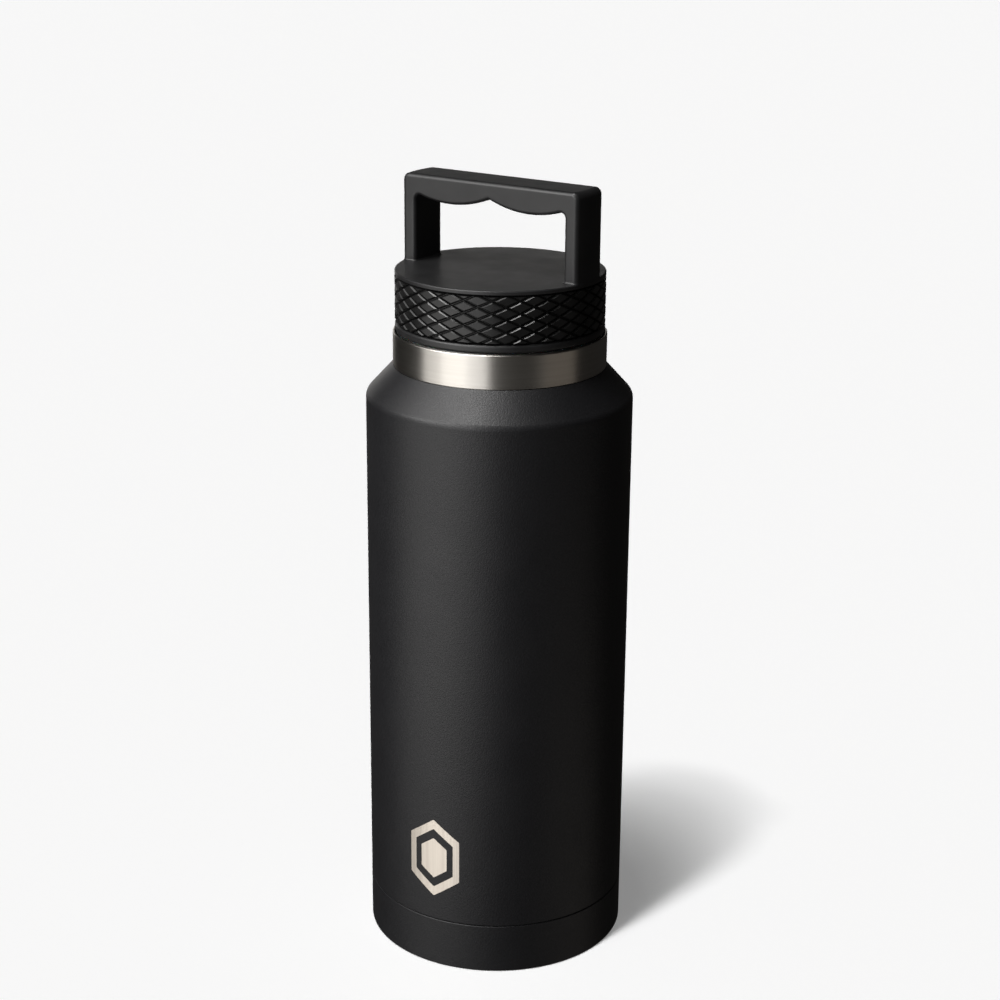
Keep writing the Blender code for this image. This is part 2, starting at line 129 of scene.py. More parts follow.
# Knurl: two families of grooves that cross, with raised diamonds between them
KNURL_COUNT = 24
KNURL_HEIGHT = 4.05 * MM          # of one diamond, from tip to tip
KNURL_TURN = 0.45                 # angle and height of one crossing, in diamonds
KNURL_LEVEL = -0.05
KNURL_PITCH = 3.70 * MM           # from groove to groove, square to them
GROOVE_DEPTH = 1.15 * MM
CHAMFER_DEPTH = 0.36 * MM
GROOVE_FLOOR = 0.05 * MM          # half-width of a groove at its floor
CHAMFER_FOOT = 0.32 * MM          # and where its chamfers start and end
GROOVE_MOUTH = 0.64 * MM

# Mark on the side: a plain long hexagon in place of the maker's
MARK_ANGLE = math.radians(-84.9)
MARK_HEIGHT = 41.0 * MM
MARK_HALF_WIDTH = 9.5 * MM
MARK_HALF_HEIGHT = 14.5 * MM
MARK_SHOULDER = 7.6 * MM          # half the height of its two upright sides
MARK_OUTLINE = 0.76               # inner edge of its outline, as a share of its size
MARK_MIDDLE = 0.52                # size of the solid hexagon inside it
MARK_LIFT = 0.04 * MM             # how far its face stands out of the coat
MARK_SINK = 0.05 * MM             # and how deep its back lies

# Mesh
SEGMENTS = 192                    # round the bottle's axis
SMALL_SEGMENTS = 32               # round a screw's boss
ON_AXIS = 1e-7                    # a radius below this is on the axis
CLOSE = 0.001 * MM                # two heights nearer than this are the same

# Camera: lengths in metres, angles in radians and the lens in millimetres
VIEW_TURN = math.radians(33.45)   # how far it stands round from the handle's front
CAMERA_DISTANCE = 0.67507
CAMERA_HEIGHT = 0.38325
CAMERA_PITCH = 0.3229
CAMERA_ROLL = 0.0078
CAMERA_YAW = 0.00066
CAMERA_LENS = 74.615

# Light
FLOOR_REACH = 5.0                 # from the bottle to the floor's edges
BACKDROP_RADIUS = 4.9
FLOOR_GLOW = 0.239                # even light that each paper gives off
BACKDROP_GLOW = 0.93
WORLD_STRENGTH = 0.019
SUN_STRENGTH = 2.15
SUN_SIDE = -40.5                  # degrees to the right of the camera
SUN_HEIGHTS = (65.7, 70.2, 74.7, 79.2, 83.7)
SUN_WIDTH = 4.5                   # degrees across each sun, so that they join in a strip

# Middle of a noise's range, over which its tints and gloss go from end to end
NOISE_LOW = 0.3
NOISE_HIGH = 0.7


# --- Mesh tools ---

def rounded(corners, closed=True, steps=6):
    """Points along an outline of (radius, height, fillet) corners, with each fillet as an arc."""
    points = []
    count = len(corners)
    for index, (across, height, fillet) in enumerate(corners):
        here = Vector((across, height))
        if fillet == 0 or (not closed and index in (0, count - 1)):
            points.append(here)
            continue
        back = (Vector(corners[index - 1][:2]) - here).normalized()
        ahead = (Vector(corners[(index + 1) % count][:2]) - here).normalized()
        half = back.angle(ahead) / 2
        centre = here + (back + ahead).normalized() * (fillet / math.sin(half))
        first = here + back * (fillet / math.tan(half)) - centre
        last = here + ahead * (fillet / math.tan(half)) - centre
        for step in range(steps + 1):
            points.append(centre + first.lerp(last, step / steps).normalized() * fillet)
    return points


def normals(points):
    """Unit normals of an open line, to the right of the way that it runs."""
    found = []
    for index in range(len(points)):
        along = points[min(index + 1, len(points) - 1)] - points[max(index - 1, 0)]
        found.append(Vector((along.y, -along.x)).normalized())
    return found


def sheet(points, thickness):
    """Closed outline of a sheet that lies to the right of its line, or to the left if negative."""
    other = [point + normal * thickness for point, normal in zip(points, normals(points))]
    return points + other[::-1]


def add_face(form, corners):
    """A face over the corners that differ, if at least three do."""
    different = list(dict.fromkeys(corners))
    if len(different) > 2:
        form.faces.new(different)


def turn(form, outline, segments=SEGMENTS, centre=(0.0, 0.0), shift=None):
    """Add a turned solid from a closed outline.

    Shift(angle, radius, height) says how far its surface moves outward at a place.
    """
    rings = []
    for radius, height in outline:
        if radius < ON_AXIS:
            rings.append([form.verts.new((*centre, height))])
            continue
        ring = []
        for step in range(segments):
            angle = math.tau * step / segments
            reach = radius + (shift(angle, radius, height) if shift else 0.0)
            ring.append(form.verts.new((
                centre[0] + reach * math.cos(angle), centre[1] + reach * math.sin(angle), height)))
        rings.append(ring)
    for one, two in zip(rings, rings[1:] + rings[:1]):
        for step in range(segments):
            after = (step + 1) % segments
            add_face(form, [one[step % len(one)], one[after % len(one)],
                            two[after % len(two)], two[step % len(two)]])


def finish_piece(name, form, material, body, nodes, sharp=32.0):
    """Make an object of the mesh, put it on its body, and hide the nodes that it replaces."""
    bmesh.ops.recalc_face_normals(form, faces=form.faces)
    mesh = bpy.data.meshes.new(name)
    form.to_mesh(mesh)
    form.free()
    mesh.shade_smooth()
    mesh.set_sharp_from_angle(angle=math.radians(sharp))
    mesh.materials.append(material)
    piece = bpy.data.objects.new(name, mesh)
    bpy.context.scene.collection.objects.link(piece)
    weighted = piece.modifiers.new("even_shading", "WEIGHTED_NORMAL")
    weighted.keep_sharp = True
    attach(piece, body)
    if nodes:
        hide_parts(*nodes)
    return piece


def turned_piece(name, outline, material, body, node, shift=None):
    """A piece that is one turned solid, in place of one node."""
    form = bmesh.new()
    turn(form, outline, shift=shift)
    piece = finish_piece(name, form, material, body, [node])


def smooth_step(value):
    """From 0 to 1 with level ends."""
    value = min(max(value, 0.0), 1.0)
    return value * value * (3.0 - 2.0 * value)


def ridge_height(angle, height, start_height):
    """How fully a thread ridge stands at a place, from 0 to 1."""
    highest = 0.0
    for start in range(THREAD_STARTS):
        run = (angle - math.tau * start / THREAD_STARTS) % math.tau
        if run > THREAD_TURN:
            continue
        middle = start_height + THREAD_LEAD * run / math.tau
        side = smooth_step((THREAD_HALF - abs(height - middle)) / (0.6 * THREAD_HALF))
        end = smooth_step(min(run, THREAD_TURN - run) / THREAD_FADE)
        highest = max(highest, side * end)
    return highest


def thread_rows(radius, top, bottom):
    """Close rows of points down a threaded wall."""
    count = round((top - bottom) / THREAD_ROW)
    return [Vector((radius, top + (bottom - top) * step / count)) for step in range(count + 1)]


# --- Material tools ---

def new_material(name, colour, roughness, metallic=0.0):
    material = bpy.data.materials.new(name)
    material.use_nodes = True
    shader = material.node_tree.nodes["Principled BSDF"]
    shader.inputs["Base Color"].default_value = (*colour, 1.0)
    shader.inputs["Roughness"].default_value = roughness
    shader.inputs["Metallic"].default_value = metallic
    return material, material.node_tree, shader


def grain(tree, cell, detail, stretch=(1.0, 1.0, 1.0)):
    """Noise with cells of a given size in metres. Stretch lengthens the cells along X, Y and Z."""
    place = tree.nodes.new("ShaderNodeTexCoord")
    scaling = tree.nodes.new("ShaderNodeMapping")
    scaling.inputs["Scale"].default_value = [1.0 / (cell * factor) for factor in stretch]
    noise = tree.nodes.new("ShaderNodeTexNoise")
    noise.inputs["Scale"].default_value = 1.0
    noise.inputs["Detail"].default_value = detail
    tree.links.new(place.outputs["Object"], scaling.inputs["Vector"])
    tree.links.new(scaling.outputs["Vector"], noise.inputs["Vector"])
    return noise.outputs["Fac"]


def gloss(tree, shader, value, low, high):
    """Roughness from low to high over the middle of a noise's range."""
    mapping = tree.nodes.new("ShaderNodeMapRange")
    mapping.inputs["From Min"].default_value = NOISE_LOW
    mapping.inputs["From Max"].default_value = NOISE_HIGH
    mapping.inputs["To Min"].default_value = low
    mapping.inputs["To Max"].default_value = high
    tree.links.new(value, mapping.inputs["Value"])
    tree.links.new(mapping.outputs["Result"], shader.inputs["Roughness"])


def tint(tree, shader, value, dark, light):
    """Base colour from dark to light over the middle of a noise's range."""
    ramp = tree.nodes.new("ShaderNodeValToRGB")
    ramp.color_ramp.elements[0].position = NOISE_LOW
    ramp.color_ramp.elements[0].color = (*dark, 1.0)
    ramp.color_ramp.elements[1].position = NOISE_HIGH
    ramp.color_ramp.elements[1].color = (*light, 1.0)
    tree.links.new(value, ramp.inputs["Fac"])
    tree.links.new(ramp.outputs["Color"], shader.inputs["Base Color"])


def bump(tree, shader, value, depth, strength, below=None):
    """Bump of a given depth in metres, over another bump if one is given."""
    node = tree.nodes.new("ShaderNodeBump")
    node.inputs["Strength"].default_value = strength
    node.inputs["Distance"].default_value = depth
    tree.links.new(value, node.inputs["Height"])
    if below is not None:
        tree.links.new(below, node.inputs["Normal"])
    tree.links.new(node.outputs["Normal"], shader.inputs["Normal"])
    return node.outputs["Normal"]


def make_powder_coat():
    """Near-black powder coat: a fine pebbled skin with a little unevenness in its gloss."""
    material, tree, shader = new_material("powder_coat", (0.009, 0.009, 0.010), 0.44)
    pebble = grain(tree, 0.50 * MM, detail=3.0)
    cloud = grain(tree, 14.0 * MM, detail=2.0)
    tint(tree, shader, pebble, (0.0065, 0.0065, 0.0075), (0.012, 0.012, 0.0135))
    gloss(tree, shader, cloud, 0.41, 0.46)
    waves = bump(tree, shader, grain(tree, 1.6 * MM, detail=1.0), 0.02 * MM, 0.5)
    bump(tree, shader, pebble, 0.075 * MM, 1.0, below=waves)
    return material


def make_brushed_steel(name, light, dark, roughness, along):
    """Bare steel brushed round the axis or, with along set, up and down."""
    material, tree, shader = new_material(name, light, roughness, 1.0)
    length = 60.0                 # of a streak, in its own widths
    stretch = (1.0, 1.0, length) if along else (length, length, 1.0)
    streaks = grain(tree, 0.16 * MM, detail=4.0, stretch=stretch)
    bands = grain(tree, 0.9 * MM, detail=2.0, stretch=stretch)
    tint(tree, shader, bands, dark, light)
    gloss(tree, shader, streaks, roughness - 0.03, roughness + 0.04)
    bump(tree, shader, streaks, 0.002 * MM, 0.5)
    shader.inputs["Anisotropic"].default_value = 0.8
    shader.inputs["Anisotropic Rotation"].default_value = 0.25
    tangent = tree.nodes.new("ShaderNodeTangent")
    tangent.direction_type = "RADIAL"
    tangent.axis = "Z"
    tree.links.new(tangent.outputs["Tangent"], shader.inputs["Tangent"])
    return material


def make_moulded(name, colour, roughness, texture_depth):
    """Moulded plastic with a spark-eroded texture and slow changes in its gloss."""
    material, tree, shader = new_material(name, colour, roughness)
    texture = grain(tree, 0.30 * MM, detail=3.0)
    flow = grain(tree, 9.0 * MM, detail=3.0)
    light = [channel * 1.25 for channel in colour]
    dark = [channel * 0.8 for channel in colour]
    tint(tree, shader, flow, dark, light)
    gloss(tree, shader, flow, roughness - 0.04, roughness + 0.04)
    bump(tree, shader, texture, texture_depth, 0.7)
    return material


def make_plain(name, dark, light, roughness, metallic, cell, depth):
    """Two tones, uneven gloss and a bump, all from one noise."""
    material, tree, shader = new_material(name, light, roughness, metallic)
    mottle = grain(tree, cell, detail=3.0)
    tint(tree, shader, mottle, dark, light)
    gloss(tree, shader, mottle, roughness - 0.06, roughness + 0.06)
    bump(tree, shader, mottle, depth, 0.6)
    return material


def make_silicone():
    """Translucent grey silicone."""
    material = make_plain("silicone", (0.42, 0.42, 0.41), (0.52, 0.52, 0.50),
                          0.42, 0.0, 0.8 * MM, 0.01 * MM)
    shader = material.node_tree.nodes["Principled BSDF"]
    shader.inputs["Subsurface Weight"].default_value = 0.3
    shader.inputs["Subsurface Scale"].default_value = 1.0 * MM
    return material


powder_coat = make_powder_coat()
neck_steel = make_brushed_steel(
    "neck_steel", (0.615, 0.59, 0.55), (0.56, 0.535, 0.495), 0.33, False)
vessel_steel = make_brushed_steel(
    "vessel_steel", (0.60, 0.60, 0.59), (0.52, 0.52, 0.51), 0.34, False)
mark_steel = make_brushed_steel(
    "mark_steel", (0.74, 0.68, 0.60), (0.64, 0.58, 0.51), 0.42, True)
lid_plastic = make_moulded("lid_plastic", (0.013, 0.013, 0.0135), 0.40, 0.012 * MM)
grip_plastic = make_moulded("grip_plastic", (0.010, 0.010, 0.010), 0.29, 0.006 * MM)
plug_plastic = make_moulded("plug_plastic", (0.035, 0.035, 0.037), 0.45, 0.010 * MM)
silicone = make_silicone()
copper = make_plain(
    "copper", (0.62, 0.30, 0.18), (0.78, 0.43, 0.28), 0.28, 1.0, 5.0 * MM, 0.12 * MM)
screw_steel = make_plain(
    "screw_steel", (0.50, 0.50, 0.50), (0.62, 0.62, 0.61), 0.30, 1.0, 0.5 * MM, 0.006 * MM)
solder_glass = make_plain(
    "solder_glass", (0.16, 0.17, 0.18), (0.24, 0.25, 0.26), 0.12, 0.0, 1.2 * MM, 0.02 * MM)
getter_alloy = make_plain(
    "getter_alloy", (0.08, 0.08, 0.08), (0.16, 0.16, 0.15), 0.80, 0.6, 0.25 * MM, 0.06 * MM)
foam = make_plain(
    "foam", (0.70, 0.70, 0.67), (0.82, 0.82, 0.79), 0.90, 0.0, 0.6 * MM, 0.10 * MM)


# --- The bottle ---

def make_wall():
    """Coated side and shoulder, with a soft edge at the seam."""
    bottom = SEAM + 0.12 * MM
    line = rounded([
        (NECK_RADIUS, SHOULDER_TOP, 0.0),
        (BODY_RADIUS, SHOULDER_CORNER, SHOULDER_BEND),
        (BODY_RADIUS, bottom, 0.0),
    ], closed=False, steps=12)
    outline = sheet(line, OUTER_SHEET)
    last = len(line) - 1
    # The corner at the seam is softened
    outline[last:last + 1] = rounded([
        (BODY_RADIUS, bottom + MM, 0.0),
        (BODY_RADIUS, bottom, 0.28 * MM),
        (BODY_RADIUS - OUTER_SHEET, bottom, 0.0),
    ], closed=False)[1:-1]
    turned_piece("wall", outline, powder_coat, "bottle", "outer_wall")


def make_base_cup():
    """Coated cup under the seam: joggled rim, foot ring, recess and pump dimple."""
    spigot = BODY_RADIUS - OUTER_SHEET - 0.4 * MM
    seam = SEAM - 0.12 * MM
    recess = DISC_TOP + GAP
    dimple = recess + 1.5 * MM
    outline = rounded([
        (spigot, CUP_TOP, 0.1 * MM),
        (spigot, seam, 0.1 * MM),
        (BODY_RADIUS, seam, 0.28 * MM),
        (BODY_RADIUS, 0.0, 0.5 * MM),
        (36.5 * MM, 0.0, 0.7 * MM),
        (34.8 * MM, recess, 0.7 * MM),
        (4.6 * MM, recess, 0.4 * MM),
        (3.6 * MM, dimple, 0.3 * MM),
        (1.3 * MM, dimple, 0.1 * MM),
        (1.3 * MM, dimple + OUTER_SHEET, 0.1 * MM),
        (4.1 * MM, dimple + OUTER_SHEET, 0.3 * MM),
        (5.1 * MM, recess + OUTER_SHEET, 0.4 * MM),
        (35.2 * MM, recess + OUTER_SHEET, 0.5 * MM),
        (36.9 * MM, OUTER_SHEET, 0.5 * MM),
        (BODY_RADIUS - OUTER_SHEET, OUTER_SHEET, 0.1 * MM),
        (BODY_RADIUS - OUTER_SHEET, seam - 0.7 * MM, 0.1 * MM),
        (spigot - OUTER_SHEET, seam - 0.2 * MM, 0.1 * MM),
        (spigot - OUTER_SHEET, CUP_TOP, 0.1 * MM),
    ])
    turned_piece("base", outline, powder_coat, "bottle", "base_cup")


def make_base_disc():
    """Coated disc in the base's recess."""
    outline = rounded([
        (0.0, DISC_TOP, 0.0),
        (DISC_RADIUS, DISC_TOP, 0.0),
        (DISC_RADIUS, DISC_BOTTOM, 0.4 * MM),
        (0.0, DISC_BOTTOM, 0.0),
    ])
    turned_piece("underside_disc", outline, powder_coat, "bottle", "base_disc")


def make_neck():
    """Bare brushed neck, which turns in under the shoulder's edge."""
    inner = NECK_RADIUS - OUTER_SHEET
    spigot = inner - GAP
    outline = rounded([
        (inner, RIM, 0.1 * MM),
        (NECK_RADIUS, RIM, 0.4 * MM),
        (NECK_RADIUS, SHOULDER_TOP + 0.2 * MM, 0.12 * MM),
        (spigot, SHOULDER_TOP + 0.1 * MM, 0.1 * MM),
        (spigot, COLLAR_BOTTOM, 0.1 * MM),
        (spigot - OUTER_SHEET, COLLAR_BOTTOM, 0.1 * MM),
        (spigot - OUTER_SHEET, SHOULDER_TOP + 0.8 * MM, 0.1 * MM),
        (inner, SHOULDER_TOP + 0.9 * MM, 0.1 * MM),
    ])
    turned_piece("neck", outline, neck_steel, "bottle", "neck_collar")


def make_vessel():
    """Drinking vessel: flat lip, threaded neck, shoulder and side."""
    neck_end = VESSEL_CORNER + VESSEL_RADIUS - NECK_BORE
    lip_outer = NECK_RADIUS - OUTER_SHEET - 0.7 * MM
    thread_top = RIM - 3.0 * MM
    thread_bottom = NECK_THREAD - 2.0 * MM
    line = rounded([
        (lip_outer, RIM, 0.0),
        (NECK_BORE, RIM, 0.5 * MM),
        (NECK_BORE, thread_top, 0.0),
    ], closed=False)
    line += thread_rows(NECK_BORE, thread_top, thread_bottom)[1:]
    line += rounded([
        (NECK_BORE, thread_bottom, 0.0),
        (NECK_BORE, neck_end, 0.8 * MM),
        (VESSEL_RADIUS, VESSEL_CORNER, SHOULDER_BEND),
        (VESSEL_RADIUS, VESSEL_BOTTOM, 0.0),
    ], closed=False, steps=8)[1:]

    def shift(angle, radius, height):
        """The ridges stand in from the bore, and leave the vessel's outside alone."""
        if radius > NECK_BORE + 0.1 * MM:
            return 0.0
        return -NECK_RIDGE * ridge_height(angle, height, NECK_THREAD)

    outline = sheet(line, -INNER_SHEET)
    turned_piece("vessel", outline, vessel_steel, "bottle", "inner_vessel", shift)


def make_vessel_base():
    """Dished bottom of the drinking vessel."""
    radius = VESSEL_RADIUS - GAP
    bend = 3.0 * MM
    line = rounded([
        (radius, BASE_TOP, 0.0),
        (radius, VESSEL_BOTTOM - 1.4 * MM, bend),
        (radius / 2, BASE_BOTTOM + 0.7 * MM, 2.0 * MM),
        (0.0, BASE_BOTTOM, 0.0),
    ], closed=False)
    outline = sheet(line, INNER_SHEET)
    # The sheet's other side ends on the axis too
    outline[len(outline) // 2].x = 0.0
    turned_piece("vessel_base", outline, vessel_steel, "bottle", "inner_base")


# --- The lid ---

def make_lid_core():
    """Lid's body: smooth lower bead, wall behind the grip band and inner plate."""
    bead_top = GRIP_BOTTOM - GAP
    gasket_roof = GASKET_TOP + GAP
    seat = LID_RADIUS - 0.9 * MM
    outline = rounded([
        (0.0, PLATE_TOP, 0.0),
        (LID_BORE, PLATE_TOP, 0.3 * MM),
        (LID_BORE, LID_UNDERSIDE - GAP, 0.2 * MM),
        (CORE_RADIUS, LID_UNDERSIDE - GAP, 0.2 * MM),
        (CORE_RADIUS, bead_top, 0.2 * MM),
        (LID_RADIUS, bead_top, 0.9 * MM),
        (LID_RADIUS, LID_BOTTOM, 0.8 * MM),
        (seat, LID_BOTTOM, 0.05 * MM),
        (seat, gasket_roof, 0.05 * MM),
        (LID_BORE, gasket_roof, 0.1 * MM),
        (LID_BORE, PLATE_TOP - 2.0 * MM, 0.2 * MM),
        (0.0, PLATE_TOP - 2.0 * MM, 0.0),
    ])
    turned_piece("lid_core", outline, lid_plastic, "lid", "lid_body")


def knurl_lines():
    """Places of the grid's lines within one pitch, with the groove in the middle of line 0."""
    floor = GROOVE_FLOOR / KNURL_PITCH
    foot = CHAMFER_FOOT / KNURL_PITCH
    mouth = GROOVE_MOUTH / KNURL_PITCH
    return [floor, foot, mouth, 0.5, 1.0 - mouth, 1.0 - foot, 1.0 - floor]


def groove_depth(place):
    """Depth at a distance from a groove's middle, in pitches: steep sides, then flat chamfers."""
    away = abs(place - round(place)) * KNURL_PITCH
    if away >= GROOVE_MOUTH:
        return 0.0
    if away >= CHAMFER_FOOT:
        return CHAMFER_DEPTH * (GROOVE_MOUTH - away) / (GROOVE_MOUTH - CHAMFER_FOOT)
    share = min((CHAMFER_FOOT - away) / (CHAMFER_FOOT - GROOVE_FLOOR), 1.0)
    return CHAMFER_DEPTH + (GROOVE_DEPTH - CHAMFER_DEPTH) * share


def slope_after(line, per_pitch):
    """The sloping strip that follows a line, as (which slope, whether it rises), or None."""
    strip = line % per_pitch
    if strip < 2:
        return strip, True
    if per_pitch - 4 < strip < per_pitch - 1:
        return per_pitch - 2 - strip, False
    return None


def knurl_surface(form):
    """The lattice on the band's outside, a little taller than the band.

    A place on it is (one, two), which count the grooves of each family. Their sum runs round the
    band and their difference up it.
    """
    lines = knurl_lines()
    per_pitch = len(lines)
    around = 2 * KNURL_COUNT * per_pitch
    rows = math.ceil((GRIP_TOP - GRIP_BOTTOM) / KNURL_HEIGHT) + 1
    verts = {}

    def place(line):
        """Where a numbered line of a family lies, in pitches."""
        return line // per_pitch + lines[line % per_pitch]

    def vertex(i, j):
        """The vertex where line i of one family crosses line j of the other."""
        key = (i - j, (i + j) % around)
        if key not in verts:
            one = place(i)
            two = place(j)
            radius = GRIP_RADIUS - max(groove_depth(one), groove_depth(two))
            angle = ((one + two) / 2 + KNURL_TURN) * math.tau / KNURL_COUNT
            height = GRIP_BOTTOM + ((one - two) / 2 + KNURL_LEVEL) * KNURL_HEIGHT
            verts[key] = form.verts.new((
                radius * math.cos(angle), radius * math.sin(angle), height))
        return verts[key]

    lowest = -2 * per_pitch
    highest = 2 * rows * per_pitch
    for difference in range(lowest, highest):
        for total in range(around):
            if (difference + total) % 2:
                continue
            i = (total + difference) // 2
            j = (total - difference) // 2
            corners = [vertex(i, j), vertex(i + 1, j), vertex(i + 1, j + 1), vertex(i, j + 1)]
            one = slope_after(i, per_pitch)
            two = slope_after(j, per_pitch)
            if one and two and one[0] == two[0]:
                # Two like slopes meet in a crease from corner to corner
                first = 0 if one[1] == two[1] else 1
                third = first + 2
                form.faces.new([corners[first], corners[first + 1], corners[third]])
                form.faces.new([corners[third], corners[(first + 3) % 4], corners[first]])
            else:
                form.faces.new(corners)


def ring_at(form, height):
    """Open boundary vertices at a height, in order round the axis."""
    found = {vert for edge in form.edges if edge.is_boundary for vert in edge.verts}
    level = [vert for vert in found if abs(vert.co.z - height) < CLOSE]
    return sorted(level, key=lambda vert: math.atan2(vert.co.y, vert.co.x))


def ring_inward(form, ring, radius, height):
    """A second ring at a radius and height, joined to the first by quads."""
    inner = []
    for vert in ring:
        outward = Vector((vert.co.x, vert.co.y, 0.0)).normalized()
        inner.append(form.verts.new(outward * radius + Vector((0.0, 0.0, height))))
    for index in range(len(ring)):
        after = (index + 1) % len(ring)
        form.faces.new([ring[index], ring[after], inner[after], inner[index]])
    return inner


def zip_rings(form, one, two):
    """Join two rings of unlike vertex counts by triangles, stepping on whichever is behind."""
    def angle(ring, index):
        vert = ring[index % len(ring)].co
        return math.atan2(vert.y, vert.x) + math.tau * (index // len(ring))

    i = 0
    j = 0
    while i < len(one) or j < len(two):
        step_one = j >= len(two) or (i < len(one) and angle(one, i + 1) <= angle(two, j + 1))
        if step_one:
            form.faces.new([one[i % len(one)], one[(i + 1) % len(one)], two[j % len(two)]])
            i += 1
        else:
            form.faces.new([one[i % len(one)], two[(j + 1) % len(two)], two[j % len(two)]])
            j += 1


def make_grip():
    """Grip band: raised diamonds outside, cut level and chamfered at both ends, plain inside."""
    chamfer = 0.35 * MM
    end_radius = GRIP_RADIUS - GROOVE_DEPTH - 0.25 * MM
    form = bmesh.new()
    knurl_surface(form)
    for height, up in ((GRIP_TOP - chamfer, 1.0), (GRIP_BOTTOM + chamfer, -1.0)):
        everything = form.verts[:] + form.edges[:] + form.faces[:]
        bmesh.ops.bisect_plane(form, geom=everything, dist=0.0001 * MM,
                               plane_co=(0.0, 0.0, height), plane_no=(0.0, 0.0, up),
                               clear_outer=True)
    inner = []
    for height, end in ((GRIP_TOP - chamfer, GRIP_TOP), (GRIP_BOTTOM + chamfer, GRIP_BOTTOM)):
        ring = ring_at(form, height)
        ring = ring_inward(form, ring, end_radius, end)
        inner.append(ring_inward(form, ring, CORE_RADIUS + GAP, end))
    zip_rings(form, *inner)
    piece = finish_piece("knurled_grip", form, grip_plastic, "lid", ["grip_band"], sharp=20.0)


def underside(distance):
    """Height of the handle bar's underside: two round bellies that meet in a notch."""
    along = abs(distance) - BELLY_CENTRE
    return HANDLE_TOP - BAR_THICKNESS + BELLY_RADIUS - math.sqrt(BELLY_RADIUS ** 2 - along ** 2)


def foot_rows(across):
    """Points up a leg's first stretch: one in the plate, then the rows of its fillet."""
    steps = 6
    rows = [Vector((across, LID_TOP - 0.8 * MM))]
    for step in range(steps + 1):
        angle = math.pi / 2 * step / steps
        rows.append(Vector((across, LID_TOP + FOOT_FILLET * (1.0 - math.cos(angle)))))
    return rows


def outer_chain(depth):
    """The handle's outside in the X-Z plane at a depth, from its left foot to its right.

    Its ends follow the lid's round side, so it is longest in the middle of its depth.
    """
    half = math.sqrt(HANDLE_END ** 2 - depth ** 2)
    corner = 2.4 * MM
    steps = 12
    rows = foot_rows(half)
    line = [Vector((-row.x, row.y)) for row in rows]
    for centre, first in ((corner - half, 180.0), (half - corner, 90.0)):
        for step in range(steps + 1):
            angle = math.radians(first - 90.0 * step / steps)
            line.append(Vector((centre + corner * math.cos(angle),
                                HANDLE_TOP - corner + corner * math.sin(angle))))
    return line + rows[::-1]


def inner_chain():
    """The inside of the handle's loop in the X-Z plane, from its left foot to its right."""
    fillet = 1.7 * MM
    fillet_steps = 8
    bar_steps = 44
    reach = HANDLE_INNER - fillet
    corner_height = underside(reach) - fillet
    half_line = foot_rows(HANDLE_INNER)
    for step in range(fillet_steps + 1):
        angle = math.radians(90.0 * step / fillet_steps)
        half_line.append(Vector((reach + fillet * math.cos(angle),
                                 corner_height + fillet * math.sin(angle))))
    for step in range(1, bar_steps):
        distance = reach * (1.0 - step / bar_steps)
        half_line.append(Vector((distance, underside(distance))))
    left = [Vector((-point.x, point.y)) for point in half_line]
    return left + [Vector((0.0, underside(0.0)))] + half_line[::-1]


def foot_flare(height):
    """How far a leg's surface stands out in its foot fillet."""
    above = height - LID_TOP
    if above >= FOOT_FILLET:
        return 0.0
    if above <= 0.0:
        return FOOT_FILLET
    return FOOT_FILLET - math.sqrt(FOOT_FILLET ** 2 - (FOOT_FILLET - above) ** 2)


def rim_drop(radius):
    """How far the lid's top lies below its middle, at a radius, where its edge is rounded."""
    past = min(max(radius - (LID_RADIUS - RIM_EDGE), 0.0), RIM_EDGE)
    return RIM_EDGE - math.sqrt(RIM_EDGE ** 2 - past ** 2)


def handle_sections():
    """(depth, inset) of the handle's sections, from its front face round to its back."""
    edge_steps = 7
    middle_steps = 8
    flat = HANDLE_DEPTH / 2 - HANDLE_EDGE
    edge = []
    for step in range(edge_steps + 1):
        angle = math.pi / 2 * step / edge_steps
        edge.append((flat + HANDLE_EDGE * math.cos(angle), HANDLE_EDGE * (1.0 - math.sin(angle))))
    front = [(-depth, inset) for depth, inset in edge]
    middle = [(flat * (2.0 * step / middle_steps - 1.0), 0.0) for step in range(1, middle_steps)]
    return front + middle + edge[::-1]


def chain_rings(form, chain, side, spread_sideways):
    """Rings of vertices along one of the handle's chains, one for each section."""
    rings = []
    for depth, inset in handle_sections():
        line = chain(depth)
        sides = [normal * side for normal in normals(line)]
        for index, point in enumerate(line):
            if point.y < LID_TOP + FOOT_FILLET:
                sides[index] = Vector((math.copysign(1.0, sides[index].x), 0.0))
        ring = []
        for point, away in zip(line, sides):
            flare = foot_flare(point.y)
            place = point + away * (flare * spread_sideways - inset)
            out = depth + math.copysign(flare, depth) * abs(depth) / (HANDLE_DEPTH / 2)
            radius = math.hypot(place.x, out)
            drop = rim_drop(radius) * flare / FOOT_FILLET
            limit = min(1.0, (LID_RADIUS - 0.03 * MM) / max(radius, MM))
            ring.append(form.verts.new((place.x * limit, out * limit, place.y - drop)))
        rings.append(ring)
    return rings


def add_handle(form):
    """The carry handle: a deep rounded loop whose feet spread into the lid's top."""
    inner_line = inner_chain()
    outer = chain_rings(form, outer_chain, -1.0, 0.2)
    inner = chain_rings(form, lambda depth: inner_line, 1.0, 1.0)
    foot = len(foot_rows(0.0)) - 1
    for rings in (outer, inner):
        for one, two in zip(rings, rings[1:]):
            for index in range(len(one) - 1):
                form.faces.new([one[index], one[index + 1], two[index + 1], two[index]])
    for side in (0, -1):
        form.faces.new(outer[side][foot:-foot] + inner[side][foot:-foot][::-1])
        for row in range(foot):
            for low, high in ((row, row + 1), (-1 - row, -2 - row)):
                form.faces.new([outer[side][low], outer[side][high],
                                inner[side][high], inner[side][low]])
    for end in (0, -1):
        form.faces.new([ring[end] for ring in outer] + [ring[end] for ring in inner[::-1]])


